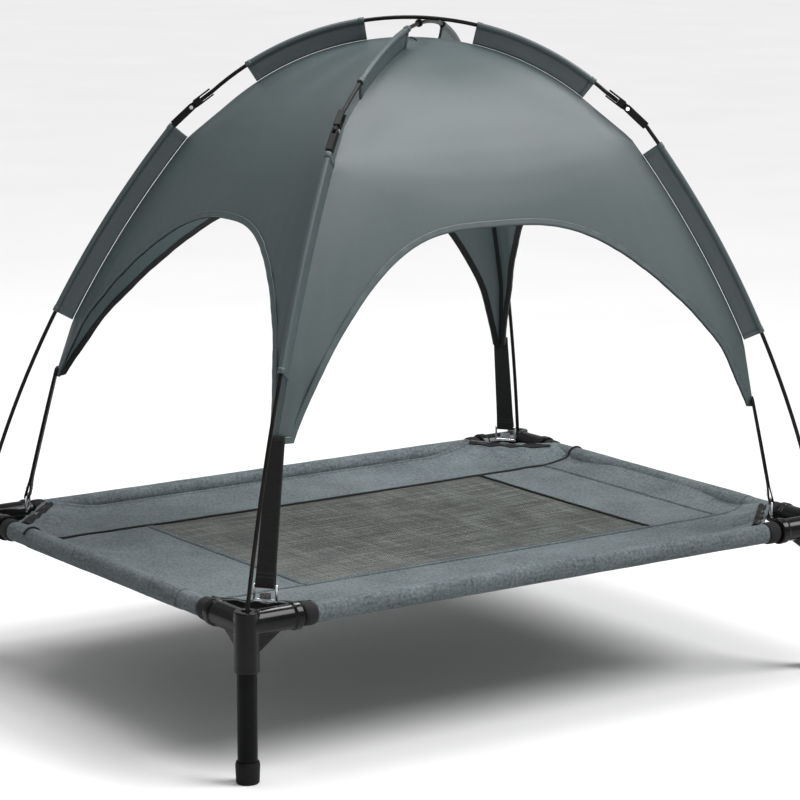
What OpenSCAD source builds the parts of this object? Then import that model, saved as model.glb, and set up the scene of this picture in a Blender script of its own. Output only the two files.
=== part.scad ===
// Raised pet cot with a removable dome canopy on two crossed folding poles.
// Origin on the floor under the middle of the cot, +X along the long side, +Z up.
// The corners are named front (-X -Y), right (+X -Y), back (+X +Y) and left (-X +Y).

/* [Cot frame] */
// Distance between leg axes along the long side
frame_l = 736; // [690:2:780]
// Distance between leg axes along the short side
frame_w = 548; // [510:2:590]
// Height of the rail axes above the floor
rail_h = 160; // [140:1:190]
// Outer diameter of a leg tube
leg_d = 20; // [19:0.5:21]
// Outer diameter of a rail tube
rail_d = 17; // [16:0.5:18]
// Wall of every tube
tube_wall = 1.2; // [0.8:0.1:1.6]

/* [Corner connectors] */
// Outer diameter of the leg socket and of both arms
socket_d = 25; // [24:0.5:27]
// Height of the socket's top face above the rail axis
socket_up = 13; // [12.5:0.5:15]
// Length of the leg socket below the rail axis
socket_down = 48; // [42:1:56]
// Length of an arm from the leg axis
arm_l = 60; // [56:1:64]
// Diameter of the hole that takes a pole's tip
tip_hole_d = 9.5; // [9:0.5:11]
// Depth of the hole that takes a pole's tip
tip_hole_depth = 13; // [11:0.5:13]

/* [Feet] */
// Outer diameter of a rubber foot
foot_d = 24.5; // [23.5:0.5:27]
// Height of a rubber foot
foot_h = 22; // [18:1:28]

/* [Sling] */
// Distance from the leg axis to the start of a rail sleeve
sleeve_gap = 75; // [72:1:80]
// Depth of the sling below the rail axis
sling_drop = 6; // [4:0.5:7]
// Width of the end panels, from the rail axis to the mesh
end_margin = 143; // [120:1:160]
// Width of the side borders, from the rail axis to the mesh
side_margin = 116; // [100:1:135]

/* [Poles] */
// Diameter of every pole rod
rod_d = 4.2; // [4:0.1:4.4]
// Height of the upper pole's axis over the rail axis, at the crown
crown_h = 550.6; // [530:1:575]
// Bow of a lower rod away from its chord
lower_bow = 25; // [20:1:30]
// Distance of the folding elbows' lower ends from the middle
elbow_low_s = 254; // [244:1:262]
// Height of the folding elbows' lower ends over the rail axis
elbow_low_z = 434.5; // [425:1:440]
// Distance of the folding elbows' upper ends from the middle
elbow_high_s = 210.6; // [204:0.5:216]
// Height of the folding elbows' upper ends over the rail axis
elbow_high_z = 471; // [464:1:476]
// Sideways lean that the sprung poles settle to
lean = 12; // [0:1:16]
// Extra lean of the lower pole's crown
crown_lean = 16; // [0:1:20]

/* [Canopy] */
// Depth of the sleeve flaps from the rod axis to the seam
flap_w = 20; // [18:0.5:24]
// Distance of a canopy tip from the middle, along the diagonal
tip_s = 380; // [372:1:388]
// Height of a canopy tip over the rail axis
tip_z = 146; // [132:1:160]
// How far the cloth has slid along the poles towards the right and back corners
slip = 12; // [0:1:14]
// Share of the seam that the arch openings take up on the long sides
long_arch = 0.378; // [0.34:0.002:0.42]
// Share of the seam that the arch openings take up on the short sides
short_arch = 0.383; // [0.34:0.002:0.42]
// Outward bulge of a canopy panel
bulge = 10; // [4:1:14]

/* [Hidden] */
corner_names = ["front", "right", "back", "left"];
$fn = 64;

plastic = "#1c1d1e";
steel = "#17181a";
rubber = "#101010";
oxford = "#7d898c";
mesh = "#555a56";
canopy = "#5f7375";
webbing = "#161616";
zinc = "#c9cbcc";

fit = 0.05;
sheet_t = 1.2;
seam_gap = 0.3;
half_l = frame_l / 2;
half_w = frame_w / 2;
sleeve_d = rail_d + 2.6;
sleeve_bore = rail_d + 2 * fit;
sheet_z = rail_h - sling_drop;
mesh_x = half_l - end_margin;
mesh_y = half_w - side_margin;
rail_stop = 16;
leg_stop = 14;
foot_floor = 4;
bead_w = 4;
bead_d = socket_d + 3;
rib_t = 5;
rib_reach = arm_l - 22;
rib_down = socket_down * 0.64;
bead_gap = 0.5;
neck_step = 1;
binding_gap = arm_l + 2;
binding_d = rail_d + 4.8;
notch = sleeve_gap + 4;
tape_t = 2.4;
tape_up = 9;
tape_down = 2;
tape_side = tape_t * 0.7;
tape_end = 8;
tape_line = sleeve_gap + 1.1 - tape_end;

pin_d = 2.4;
elbow_h = 8;
elbow_w = 7;
cheek_t = 1.8;
tongue_t = elbow_w - 2 * cheek_t - 0.4;
elbow_bow = 1.5;
rod_grip = 15;
rod_start = 0.002;
rod_cross_gap = 0.8;
mouth = 1.2;
flap_t = 1.6;
flap_bore = rod_d + 0.4;
flap_skin = 0.8;
flap_low_z = [222, 426];
flap_high_s = [186, 60];
panel_t = 1.5;
panel_inset = flap_w + 0.7;
seam_half = 1.6;
top_v = 0.982;
arch_power = 4;
arch_sharp = 1.2;
foot_share = 0.045;
strap_w = 20;
strap_t = 3.2;
strap_eye_d = 6;
strap_foot_s = 407;
strap_foot_z = 26;
hook_wire = 2.6;
hook_w = strap_w + 3.4;
hook_drop = 15;

// Corner index, from 0 to 3: front, right, back, left
corner_x = [-1, 1, 1, -1];
corner_y = [-1, -1, 1, 1];
function turn(i) = [0, 90, 180, 270][i];
function corner(i) = [corner_x[i] * half_l, corner_y[i] * half_w, 0];
diag = norm(corner(0));
function outward(i) = corner(i) / diag;
function unit(v) = v / norm(v);
lean_dir = outward(1);
function slide_of(i) = (i == 1 || i == 2 ? 1 : -1) * slip;

// Corner points of the pole path: tip in its hole, elbow's lower end and upper end
function tip_pt(i) = outward(i) * (diag + 1.6) + [0, 0, rail_h + socket_up - tip_hole_depth + 0.3];
function low_pt(i) = outward(i) * elbow_low_s + lean_dir * lean + [0, 0, rail_h + elbow_low_z];
function high_pt(i) = outward(i) * elbow_high_s + lean_dir * lean + [0, 0, rail_h + elbow_high_z];
function knee_pt(i) = let (c = unit(high_pt(i) - low_pt(i)), b = unit([0, 0, 1] - c * c[2]))
    (low_pt(i) + high_pt(i)) / 2 + b * elbow_bow;

// An arc over a chord: [centre, chord direction, bow direction, radius, half angle]
function arc_over(p, q, bow, sag) = let (
    len = norm(q - p),
    c = (q - p) / len,
    b = unit(bow - c * (bow * c)),
    r = (len * len / 4 + sag * sag) / (2 * sag)
) [(p + q) / 2 - b * (r - sag), c, b, r, asin(len / 2 / r)];

// A point at share t of an arc, set in from it towards its centre
function arc_pt(a, t, inset) =
    a[0] + (a[1] * sin((2 * t - 1) * a[4]) + a[2] * cos((2 * t - 1) * a[4])) * (a[3] - inset);

function low_arc(i) = arc_over(tip_pt(i), low_pt(i), outward(i), lower_bow);
function top_bow(i) = i % 2 == 1
    ? [0, 0, crown_h - elbow_high_z]
    : [0, 0, crown_h - rod_d - rod_cross_gap - elbow_high_z] + lean_dir * crown_lean;
function top_arc(i) = arc_over(high_pt(i), high_pt((i + 2) % 4), top_bow(i), norm(top_bow(i)));

// Share of an arc at which it reaches a height, or a distance from its middle
function share_at_z(a, z, lo = 0, hi = 1, n = 18) = let (m = (lo + hi) / 2)
    n == 0 ? m : arc_pt(a, m, 0)[2] < z ? share_at_z(a, z, m, hi, n - 1) : share_at_z(a, z, lo, m, n - 1);
function share_at_s(a, s) = 0.5 - asin(s / a[3]) / a[4] / 2;

// Share of the lower rod where the sleeve flap starts and ends, and the same on the top rod
function flap_low(i) = [for (z = flap_low_z) share_at_z(low_arc(i), rail_h + z - slide_of(i) * 0.8)];
function flap_high(i) = [for (s = flap_high_s) share_at_s(top_arc(i), s + slide_of(i))];

// The seam under a pole: share v runs from the canopy tip to the crown
seam_v = [0.114, 0.535, 0.628];
function canopy_tip(i) = outward(i) * (tip_s + slide_of(i) * 0.5) + [0, 0, rail_h + tip_z - slide_of(i) * 1.2];
function seam_on(i, v, lo, hi, b) =
    v <= seam_v[0]
        ? canopy_tip(i) * (1 - v / seam_v[0]) + arc_pt(lo, b, panel_inset) * v / seam_v[0]
    : v <= seam_v[1]
        ? arc_pt(lo, b + (1 - b) * (v - seam_v[0]) / (seam_v[1] - seam_v[0]), panel_inset)
    : v >= seam_v[2]
        ? arc_pt(hi, (v - seam_v[2]) / (1 - seam_v[2]) / 2, panel_inset)
    : let (w = (v - seam_v[1]) / (seam_v[2] - seam_v[1]))
        arc_pt(lo, 1, panel_inset) * (1 - w) + arc_pt(hi, 0, panel_inset) * w;

// Panel i spans from the seam of corner i to the seam of the next corner
function long_side(i) = i % 2 == 0;
function arch_v(i, u) = let (
    rise = long_side(i) ? long_arch : short_arch,
    foot = long_side(i) ? foot_share : foot_share * 1.4,
    x = min(1, abs(2 * u - 1) / (1 - 2 * foot))
) rise * pow(1 - pow(x, arch_power), arch_sharp);
function panel_out(i) = unit(outward(i) + outward((i + 1) % 4) + [0, 0, 0.5]);
function panel_pt(i, u, v, arcs) = let (
    j = (i + 1) % 4,
    a = seam_on(i, v, arcs[0], arcs[1], arcs[4]),
    b = seam_on(j, v, arcs[2], arcs[3], arcs[5]),
    e = unit(b - a) * seam_half
) (a + e) * (1 - u) + (b - e) * u + panel_out(i) * bulge * 4 * u * (1 - u) * min(1, 2 - 2 * v);

// A tube, bar or flap swept along part of an arc; x of the profile points away from its centre
module along(a, t0, t1) {
    n = cross(a[2], a[1]);
    f0 = (2 * t0 - 1) * a[4];
    f1 = (2 * t1 - 1) * a[4];
    multmatrix([
        [a[2][0], a[1][0], n[0], a[0][0]],
        [a[2][1], a[1][1], n[1], a[0][1]],
        [a[2][2], a[1][2], n[2], a[0][2]],
        [0, 0, 0, 1]
    ])
        rotate([0, 0, f0]) rotate_extrude(angle = f1 - f0, $fn = 96) translate([a[3], 0]) children();
}

// Places children at p with local X along x and local Y as near as possible to y
module placed(p, x, y) {
    ax = unit(x);
    ay = unit(y - ax * (y * ax));
    az = cross(ax, ay);
    multmatrix([
        [ax[0], ay[0], az[0], p[0]],
        [ax[1], ay[1], az[1], p[1]],
        [ax[2], ay[2], az[2], p[2]],
        [0, 0, 0, 1]
    ])
        children();
}

// Places children at a corner with local X and Y along the two rails, pointing into the cot
module at_corner(i, z) {
    translate([corner(i)[0], corner(i)[1], z]) rotate([0, 0, turn(i)]) children();
}

module along_x(d, from, to) {
    translate([from, 0, 0]) rotate([0, 90, 0]) cylinder(d = d, h = to - from);
}

module along_y(d, from, to) {
    translate([0, from, 0]) rotate([-90, 0, 0]) cylinder(d = d, h = to - from);
}

module connector_arm() {
    along_x(socket_d, 0, arm_l - 2 * (bead_w + bead_gap));
    along_x(socket_d - 2 * neck_step, 0, arm_l);
    for (k = [0, 1]) {
        along_x(bead_d, arm_l - (k + 1) * (bead_w + bead_gap), arm_l - k * (bead_w + bead_gap) - bead_gap);
    }
    translate([0, rib_t / 2, 0]) rotate([90, 0, 0]) linear_extrude(rib_t) polygon([
        [0, 0],
        [rib_reach, 0],
        [rib_reach, -socket_d / 2],
        [socket_d / 2, -rib_down],
        [0, -rib_down]
    ]);
}

module connector(i) {
    color(plastic) at_corner(i, rail_h) difference() {
        union() {
            translate([0, 0, -socket_down]) cylinder(d = socket_d, h = socket_down + socket_up);
            connector_arm();
            mirror([1, -1, 0]) connector_arm();
        }
        translate([0, 0, -socket_down - 1]) cylinder(d = leg_d + 2 * fit, h = socket_down + 1 - leg_stop);
        along_x(rail_d + 2 * fit, rail_stop, arm_l + 1);
        along_y(rail_d + 2 * fit, rail_stop, arm_l + 1);
        translate([0, 0, socket_up - tip_hole_depth]) cylinder(d = tip_hole_d, h = tip_hole_depth + 1);
    }
}

module tube(d, len) {
    difference() {
        cylinder(d = d, h = len);
        translate([0, 0, -1]) cylinder(d = d - 2 * tube_wall, h = len + 2);
    }
}

module leg(i) {
    color(steel) translate(corner(i) + [0, 0, foot_floor]) tube(leg_d, rail_h - leg_stop - foot_floor);
}

module foot(i) {
    round_r = 2;
    sole_r = foot_d / 2 - 0.6;
    color(rubber) translate(corner(i)) rotate_extrude() polygon(concat(
        [[0, 0]],
        [for (a = [-90:15:0]) [sole_r - round_r + round_r * cos(a), round_r + round_r * sin(a)]],
        [[foot_d / 2, foot_h - 3], [foot_d / 2 - 0.8, foot_h]],
        [[leg_d / 2 + fit, foot_h], [leg_d / 2 + fit, foot_floor], [0, foot_floor]]
    ));
}

// Rail i runs from corner i to the next corner
module rail(i) {
    len = (long_side(i) ? frame_l : frame_w) - 2 * rail_stop;
    color(steel) at_corner(i, rail_h) translate([rail_stop, 0, 0]) rotate([0, 90, 0]) tube(rail_d, len);
}

// Plan outline of the sling with its corners cut off, inside the rail axes
module sling_outline() {
    polygon([for (i = [0:3], k = [0, 1]) let (
        sx = corner_x[i],
        sy = corner_y[i],
        cut_x = (i % 2 == 0) == (k == 1)
    ) [sx * (half_l - (cut_x ? notch : 0)), sy * (half_w - (cut_x ? 0 : notch))]]);
}

module sling_sheet(x0, x1, y0, y1) {
    translate([0, 0, sheet_z - sheet_t / 2]) linear_extrude(sheet_t) intersection() {
        sling_outline();
        translate([x0, y0]) square([x1 - x0, y1 - y0]);
    }
}

// Rail bore cut out of everything that the sling has around a rail
module rail_bores() {
    for (s = [-1, 1]) {
        translate([0, s * half_w, rail_h]) along_x(sleeve_bore, -half_l, half_l);
        translate([s * half_l, 0, rail_h]) along_y(sleeve_bore, -half_w, half_w);
    }
}

// Room for the bindings at both ends of the border on side s
module binding_room(s) {
    stop = sleeve_gap - seam_gap / 2;
    for (e = [-1, 1]) {
        translate([e * half_l, s * half_w, rail_h]) mirror([e > 0 ? 1 : 0, 0, 0]) mirror([0, s > 0 ? 1 : 0, 0]) {
            along_x(binding_d + 2 * fit, 0, stop);
            along_y(binding_d + 2 * fit, 0, stop);
        }
    }
}

// Border strip on the side s of the cot: -1 for the front rail, 1 for the back rail
module border(s) {
    inner = mesh_y + seam_gap / 2;
    reach = half_w - sleeve_gap;
    color(oxford) difference() {
        union() {
            translate([0, s * half_w, rail_h]) along_x(sleeve_d, sleeve_gap - half_l, half_l - sleeve_gap);
            for (e = [-1, 1]) {
                translate([e * half_l, 0, rail_h])
                    along_y(sleeve_d, min(s * inner, s * reach), max(s * inner, s * reach));
            }
            sling_sheet(-half_l, half_l, min(s * inner, s * half_w), max(s * inner, s * half_w));
        }
        rail_bores();
        binding_room(s);
    }
}

// End panel on the side e of the cot: -1 for the left end, 1 for the right end
module end_panel(e) {
    inner = mesh_x + seam_gap / 2;
    reach = mesh_y - seam_gap / 2;
    color(oxford) difference() {
        union() {
            translate([e * half_l, 0, rail_h]) along_y(sleeve_d + 0.6, -reach, reach);
            sling_sheet(min(e * inner, e * half_l), max(e * inner, e * half_l), -reach, reach);
        }
        rail_bores();
    }
}

module mesh_panel() {
    x = mesh_x - seam_gap / 2;
    y = mesh_y - seam_gap / 2;
    color(mesh) translate([-x, -y, sheet_z - sheet_t / 2]) cube([2 * x, 2 * y, sheet_t]);
}

// Raised piping on the back seam, rail to rail, and down the mesh's right edge
module mesh_piping() {
    d = 2.4;
    z = sheet_z + sheet_t / 2 + d / 2 + 0.1;
    run = half_l - sleeve_d / 2 - 2;
    color(webbing) translate([0, 0, z]) {
        translate([0, mesh_y, 0]) along_x(d, -run, run);
        translate([mesh_x, 0, 0]) along_y(d, -mesh_y, mesh_y);
    }
}

// Black edge tape: round both sleeve ends and up across the cut corner, where the hook catches it
module binding(i) {
    color(webbing) at_corner(i, rail_h) difference() {
        union() {
            along_x(binding_d, binding_gap, sleeve_gap - seam_gap);
            along_y(binding_d, binding_gap, sleeve_gap - seam_gap);
            translate([0, 0, -tape_down]) linear_extrude(tape_up + tape_down) polygon([
                [tape_line - tape_side, tape_end],
                [tape_line + tape_side, tape_end],
                [tape_end, tape_line + tape_side],
                [tape_end, tape_line - tape_side]
            ]);
        }
        along_x(sleeve_bore, 0, sleeve_gap + 10);
        along_y(sleeve_bore, 0, sleeve_gap + 10);
    }
}

// The end of a rod, gripped straight inside an elbow
module rod_end(p, knee) {
    placed(p, knee - p, [0, 0, 1]) {
        sphere(d = rod_d + 0.2);
        along_x(rod_d, 0, rod_grip);
    }
}

module lower_rod(i) {
    color(steel) {
        along(low_arc(i), rod_start, 1) circle(d = rod_d);
        rod_end(low_pt(i), knee_pt(i));
    }
}

module top_rod(i) {
    color(steel) {
        along(top_arc(i), 0, 1) circle(d = rod_d);
        rod_end(high_pt(i), knee_pt(i));
        rod_end(high_pt((i + 2) % 4), knee_pt((i + 2) % 4));
    }
}

// Small tie that holds the two top rods together just before they cross
module pole_tie() {
    a = top_arc(0);
    color(webbing) along(a, 0.468, 0.474) difference() {
        translate([0.2, 0]) circle(d = rod_d + 4);
        circle(d = rod_d + 2 * fit);
    }
}

// Elbow halves are drawn with the knee pin at the origin and the half along +X, +Y facing out
module elbow_eye(t, d) {
    translate([0, 0, -t / 2]) cylinder(d = d, h = t);
    translate([0, -d / 2, -t / 2]) cube([d, d, t]);
}

module elbow_socket(i) {
    knee = knee_pt(i);
    len = norm(low_pt(i) - knee);
    color(plastic) placed(knee, low_pt(i) - knee, outward(i)) difference() {
        union() {
            elbow_eye(elbow_w, elbow_h);
            translate([elbow_h - 0.5, -elbow_h / 2, -elbow_w / 2]) cube([len - elbow_h + 0.5 - mouth, elbow_h, elbow_w]);
        }
        translate([-elbow_h, -elbow_h, -tongue_t / 2 - 0.2]) cube([2 * elbow_h - 2, 2 * elbow_h, tongue_t + 0.4]);
        translate([0, 0, -elbow_w]) cylinder(d = pin_d + 2 * fit, h = 2 * elbow_w);
        along_x(rod_d + 2 * fit, len - rod_grip - 0.5, len + 1);
    }
}

module elbow_fork(i) {
    knee = knee_pt(i);
    len = norm(high_pt(i) - knee);
    prong = 1.6;
    color(plastic) placed(knee, high_pt(i) - knee, outward(i)) difference() {
        union() {
            elbow_eye(tongue_t, elbow_h - 0.6);
            translate([elbow_h / 2 + mouth, -elbow_h / 2, -elbow_w / 2])
                cube([len - elbow_h / 2 - 2 * mouth, elbow_h + 0.8, elbow_w]);
        }
        translate([0, 0, -elbow_w]) cylinder(d = pin_d + 2 * fit, h = 2 * elbow_w);
        translate([len - rod_grip - 0.5, -elbow_h / 2 + prong - 0.1, -elbow_w])
            cube([rod_grip + 2, elbow_h + 0.8 - 2 * prong, 2 * elbow_w]);
    }
}

module elbow_pins() {
    color(zinc) for (i = [0:3]) {
        placed(knee_pt(i), low_pt(i) - knee_pt(i), outward(i)) {
            translate([0, 0, -elbow_w / 2 - 0.6]) cylinder(d = pin_d, h = elbow_w + 1.2);
            for (s = [-1, 1]) {
                translate([0, 0, s * (elbow_w / 2 + 0.45) - 0.35]) cylinder(d = pin_d + 1.6, h = 0.7);
            }
        }
    }
}

// A sleeve flap's section: a loop round the rod and a doubled flap down to the seam
module flap_section() {
    difference() {
        union() {
            circle(d = flap_bore + 2 * flap_skin);
            translate([-flap_w, -flap_t / 2]) square([flap_w - flap_bore / 2, flap_t]);
        }
        circle(d = flap_bore);
    }
}

module sleeve(i) {
    low = flap_low(i);
    high = flap_high(i);
    color(canopy) {
        along(low_arc(i), low[0], low[1]) flap_section();
        along(top_arc(i), high[0], high[1]) flap_section();
    }
}

panel_nu = 30;
panel_nv = 16;
function panel_u(k) = (1 - cos(180 * k / panel_nu)) / 2;

// A thin closed shell over the panel's surface, from the arch edge up to the crown
module canopy_panel(i) {
    j = (i + 1) % 4;
    arcs = [low_arc(i), top_arc(i), low_arc(j), top_arc(j), flap_low(i)[0], flap_low(j)[0]];
    skin = [for (m = [0:panel_nv]) [for (k = [0:panel_nu]) let (u = panel_u(k), v0 = arch_v(i, u))
        panel_pt(i, u, v0 + (top_v - v0) * m / panel_nv, arcs)]];
    function normal(m, k) = let (
        du = skin[m][min(k + 1, panel_nu)] - skin[m][max(k - 1, 0)],
        dv = skin[min(m + 1, panel_nv)][k] - skin[max(m - 1, 0)][k]
    ) unit(cross(du, dv));
    row = panel_nu + 1;
    count = row * (panel_nv + 1);
    outer = [for (m = [0:panel_nv], k = [0:panel_nu]) skin[m][k]];
    inner = [for (m = [0:panel_nv], k = [0:panel_nu]) skin[m][k] - normal(m, k) * panel_t];
    faces = concat(
        [for (m = [0:panel_nv - 1], k = [0:panel_nu - 1]) let (a = m * row + k) each
            [[a, a + row, a + row + 1], [a, a + row + 1, a + 1]]],
        [for (m = [0:panel_nv - 1], k = [0:panel_nu - 1]) let (a = count + m * row + k) each
            [[a, a + 1, a + row + 1], [a, a + row + 1, a + row]]],
        [for (k = [0:panel_nu - 1]) each [[k, k + 1, count + k + 1], [k, count + k + 1, count + k]]],
        [for (k = [0:panel_nu - 1]) let (a = panel_nv * row + k) each
            [[a, count + a, count + a + 1], [a, count + a + 1, a + 1]]],
        [for (m = [0:panel_nv - 1]) let (a = m * row) each
            [[a, count + a, count + a + row], [a, count + a + row, a + row]]],
        [for (m = [0:panel_nv - 1]) let (a = m * row + panel_nu) each
            [[a, a + row, count + a + row], [a, count + a + row, count + a]]]
    );
    color(canopy) polyhedron(points = concat(outer, inner), faces = faces, convexity = 4);
}

// The strap's eye, where the hook's bar turns
function strap_foot(i) = outward(i) * strap_foot_s + [0, 0, rail_h + strap_foot_z];

module strap(i) {
    foot = strap_foot(i);
    head = canopy_tip(i) - unit(canopy_tip(i) - foot) * 1.5;
    len = norm(head - foot);
    color(webbing) placed(foot, head - foot, outward(i)) difference() {
        union() {
            translate([0, -strap_t / 2, -strap_w / 2]) cube([len, strap_t, strap_w]);
            translate([0, 0, -strap_w / 2]) cylinder(d = strap_eye_d, h = strap_w);
        }
        translate([0, 0, -strap_w]) cylinder(d = hook_wire + 2 * fit, h = 2 * strap_w);
    }
}

// Wire hook hanging in the strap's eye, with a flat lip at the edge tape
module hook(i) {
    lip = 8;
    color(zinc) placed(strap_foot(i), outward(i), [0, 0, 1]) {
        translate([0, 0, -hook_w / 2]) cylinder(d = hook_wire, h = hook_w);
        for (s = [-1, 1]) {
            translate([0, 0, s * hook_w / 2]) {
                sphere(d = hook_wire);
                along_y(hook_wire, -hook_drop, 0);
                translate([0, -hook_drop, 0]) sphere(d = hook_wire);
            }
        }
        translate([0, -hook_drop, -hook_w / 2]) cylinder(d = hook_wire, h = hook_w);
        translate([-0.6, -hook_drop, -6]) cube([1.2, lip, 12]);
    }
}

for (i = [0:3]) {
    connector(i);
    leg(i);
    foot(i);
    rail(i);
    binding(i);
    lower_rod(i);
    elbow_socket(i);
    elbow_fork(i);
    sleeve(i);
    canopy_panel(i);
    strap(i);
    hook(i);
}
border(-1);  // front_border
border(1);  // back_border
end_panel(-1);  // left_end_panel
end_panel(1);  // right_end_panel
mesh_panel();
mesh_piping();
top_rod(1);  // upper_top_rod
top_rod(0);  // under_top_rod
pole_tie();
elbow_pins();
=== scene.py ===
import math
import bmesh
import bpy
from mathutils import Matrix, Vector, noise


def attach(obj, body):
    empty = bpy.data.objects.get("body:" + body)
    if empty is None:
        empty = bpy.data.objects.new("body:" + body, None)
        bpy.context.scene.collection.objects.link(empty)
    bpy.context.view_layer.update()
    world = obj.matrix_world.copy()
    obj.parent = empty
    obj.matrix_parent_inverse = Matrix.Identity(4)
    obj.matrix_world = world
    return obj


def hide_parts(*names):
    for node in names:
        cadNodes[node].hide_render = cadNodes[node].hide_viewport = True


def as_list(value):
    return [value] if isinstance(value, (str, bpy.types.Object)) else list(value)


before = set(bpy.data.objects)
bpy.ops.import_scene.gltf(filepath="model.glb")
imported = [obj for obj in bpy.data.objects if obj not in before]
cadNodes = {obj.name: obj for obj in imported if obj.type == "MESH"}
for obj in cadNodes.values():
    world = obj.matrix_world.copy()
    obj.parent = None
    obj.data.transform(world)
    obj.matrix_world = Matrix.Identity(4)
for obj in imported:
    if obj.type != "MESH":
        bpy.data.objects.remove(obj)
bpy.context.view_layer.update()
corners = ["front", "right", "back", "left"]

# sizes of the cot, in millimetres like every length below
cot = {"halfLength": 368.0, "halfWidth": 274.0, "railZ": 160.0, "railD": 17.0, "sheetZ": 154.0,
       "meshX": 225.0, "meshY": 158.0, "sleeveGap": 75.0, "notch": 79.0}
cornerSigns = [(-1, -1), (1, -1), (1, 1), (-1, 1)]
diagonal = math.hypot(cot["halfLength"], cot["halfWidth"])


def smoothStep(a, b, x):
    t = min(1.0, max(0.0, (x - a) / (b - a)))
    return t * t * (3 - 2 * t)


# ---- camera
cameraView = {"place": (-2.0064, -2.8972, 0.9874), "yaw": -34.74, "pitch": 11.11,
              "lens": 148.5, "sensor": 36.0}


def placeCamera():
    data = bpy.data.cameras.new("mainView")
    data.lens = cameraView["lens"]
    data.sensor_width = cameraView["sensor"]
    data.clip_start, data.clip_end = 0.1, 30
    camera = bpy.data.objects.new("mainView", data)
    bpy.context.scene.collection.objects.link(camera)
    yaw, pitch = math.radians(cameraView["yaw"]), math.radians(cameraView["pitch"])
    backward = Vector((math.sin(yaw) * math.cos(pitch), -math.cos(yaw) * math.cos(pitch), math.sin(pitch)))
    camera.rotation_mode = "QUATERNION"
    camera.rotation_quaternion = (-backward).to_track_quat("-Z", "Y")
    camera.location = cameraView["place"]
    bpy.context.scene.camera = camera


placeCamera()
print("camera placed")


# ---- node helpers
class Nodes:
    def __init__(self, name):
        self.material = bpy.data.materials.new(name)
        self.material.use_nodes = True
        self.tree = self.material.node_tree
        self.shader = self.tree.nodes["Principled BSDF"]

    def add(self, kind, **values):
        node = self.tree.nodes.new(kind)
        for key, value in values.items():
            setattr(node, key, value)
        return node

    def link(self, a, b):
        self.tree.links.new(a, b)

    def math(self, operation, a, b=None):
        node = self.add("ShaderNodeMath", operation=operation)
        for socket, value in zip(node.inputs, (a, b)):
            if value is None:
                continue
            if isinstance(value, (int, float)):
                socket.default_value = value
            else:
                self.link(value, socket)
        return node.outputs[0]

    def coords(self, uv=True):
        if uv:
            return self.add("ShaderNodeUVMap", uv_map="cloth").outputs["UV"]
        return self.add("ShaderNodeTexCoord").outputs["Object"]

    def noise(self, source, scale, detail=3.0, stretch=(1, 1, 1), roughness=0.5):
        mapping = self.add("ShaderNodeMapping")
        mapping.inputs["Scale"].default_value = stretch
        self.link(source, mapping.inputs["Vector"])
        texture = self.add("ShaderNodeTexNoise")
        texture.inputs["Scale"].default_value = scale
        texture.inputs["Detail"].default_value = detail
        texture.inputs["Roughness"].default_value = roughness
        self.link(mapping.outputs["Vector"], texture.inputs["Vector"])
        return texture.outputs["Fac"]

    def ramp(self, source, stops):
        ramp = self.add("ShaderNodeValToRGB")
        while len(ramp.color_ramp.elements) < len(stops):
            ramp.color_ramp.elements.new(0.5)
        for element, (place, color) in zip(ramp.color_ramp.elements, stops):
            element.position = place
            element.color = (*color, 1)
        self.link(source, ramp.inputs["Fac"])
        return ramp.outputs["Color"]

    def mix(self, fac, a, b):
        node = self.add("ShaderNodeMix", data_type="RGBA")
        for socket, value in ((node.inputs["Factor"], fac), (node.inputs["A"], a), (node.inputs["B"], b)):
            if isinstance(value, (int, float)):
                socket.default_value = value
            elif isinstance(value, tuple):
                socket.default_value = (*value, 1)
            else:
                self.link(value, socket)
        return node.outputs["Result"]

    def bump(self, height, strength, distance, base=None):
        node = self.add("ShaderNodeBump")
        node.inputs["Strength"].default_value = strength
        node.inputs["Distance"].default_value = distance
        self.link(height, node.inputs["Height"])
        if base is not None:
            self.link(base, node.inputs["Normal"])
        return node.outputs["Normal"]

    # plain weave on the cloth map, which is in metres: 0 in the gaps and 1 on the threads
    def weave(self, source, pitchX, pitchY):
        parts = self.add("ShaderNodeSeparateXYZ")
        self.link(source, parts.inputs[0])
        x = self.math("DIVIDE", parts.outputs["X"], pitchX * 0.001)
        y = self.math("DIVIDE", parts.outputs["Y"], pitchY * 0.001)
        warp = self.math("ABSOLUTE", self.math("SINE", self.math("MULTIPLY", x, math.pi)))
        weft = self.math("ABSOLUTE", self.math("SINE", self.math("MULTIPLY", y, math.pi)))
        over = self.math("MODULO", self.math("ADD", self.math("FLOOR", x), self.math("FLOOR", y)), 2.0)
        over = self.math("ABSOLUTE", over)
        return self.math("ADD", self.math("MULTIPLY", warp, over),
                         self.math("MULTIPLY", weft, self.math("SUBTRACT", 1.0, over))), warp, weft

    def finish(self, roughness, metallic=0.0, sheen=0.0, sheenRoughness=0.4, specular=0.5):
        inputs = self.shader.inputs
        if not inputs["Roughness"].is_linked:
            inputs["Roughness"].default_value = roughness
        inputs["Metallic"].default_value = metallic
        inputs["Sheen Weight"].default_value = sheen
        inputs["Sheen Roughness"].default_value = sheenRoughness
        inputs["Specular IOR Level"].default_value = specular
        return self.material


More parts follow.
